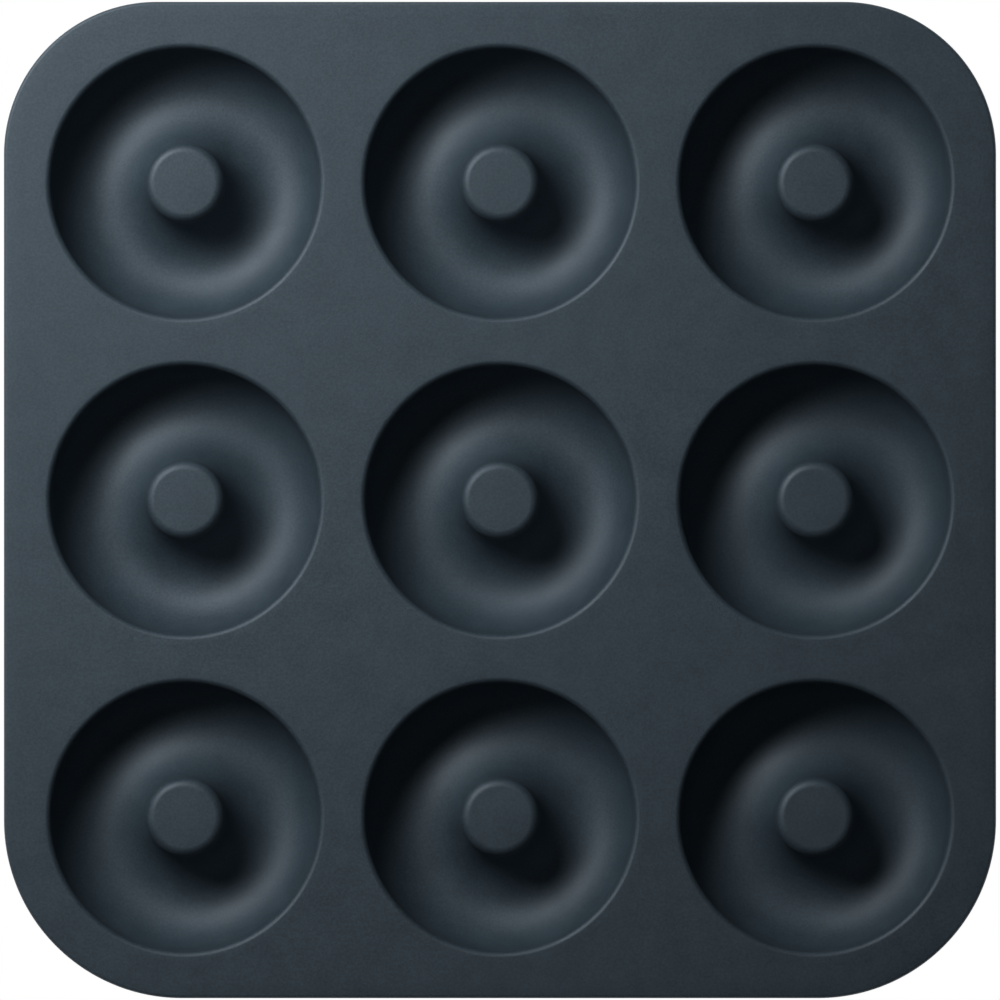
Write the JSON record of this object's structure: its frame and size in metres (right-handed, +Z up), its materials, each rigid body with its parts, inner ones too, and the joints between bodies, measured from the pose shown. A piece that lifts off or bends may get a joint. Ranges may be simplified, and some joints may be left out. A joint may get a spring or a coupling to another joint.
{
  "type": "silicone doughnut mould",
  "caption": "Square flexible baking mould with rounded corners, a flat top sheet with a turned-down edge, and a grid of ring-shaped cups with flat-topped hollow centre posts.",
  "frame": {"origin": "centre of the footprint, on the surface that the cups' feet stand on", "axes": "+X to the right, +Y to the back (the corners with the smaller radius), +Z up, out of the open side of the cups"},
  "size_m": [0.279, 0.2802, 0.0198],
  "materials": {
    "silicone": "matte"
  },
  "bodies": {
    "root": {"deck": "silicone", "edge_back": "silicone", "edge_left": "silicone", "edge_front": "silicone", "edge_right": "silicone", "corner_back_right": "silicone", "corner_back_left": "silicone", "corner_front_left": "silicone", "corner_front_right": "silicone", "wall_front_left": "silicone", "wall_front_centre": "silicone", "wall_front_right": "silicone", "wall_middle_left": "silicone", "wall_middle_centre": "silicone", "wall_middle_right": "silicone", "wall_back_left": "silicone", "wall_back_centre": "silicone", "wall_back_right": "silicone", "trough_front_left": "silicone", "trough_front_centre": "silicone", "trough_front_right": "silicone", "trough_middle_left": "silicone", "trough_middle_centre": "silicone", "trough_middle_right": "silicone", "trough_back_left": "silicone", "trough_back_centre": "silicone", "trough_back_right": "silicone", "post_front_left": "silicone", "post_front_centre": "silicone", "post_front_right": "silicone", "post_middle_left": "silicone", "post_middle_centre": "silicone", "post_middle_right": "silicone", "post_back_left": "silicone", "post_back_centre": "silicone", "post_back_right": "silicone"}
  },
  "joints": []
}
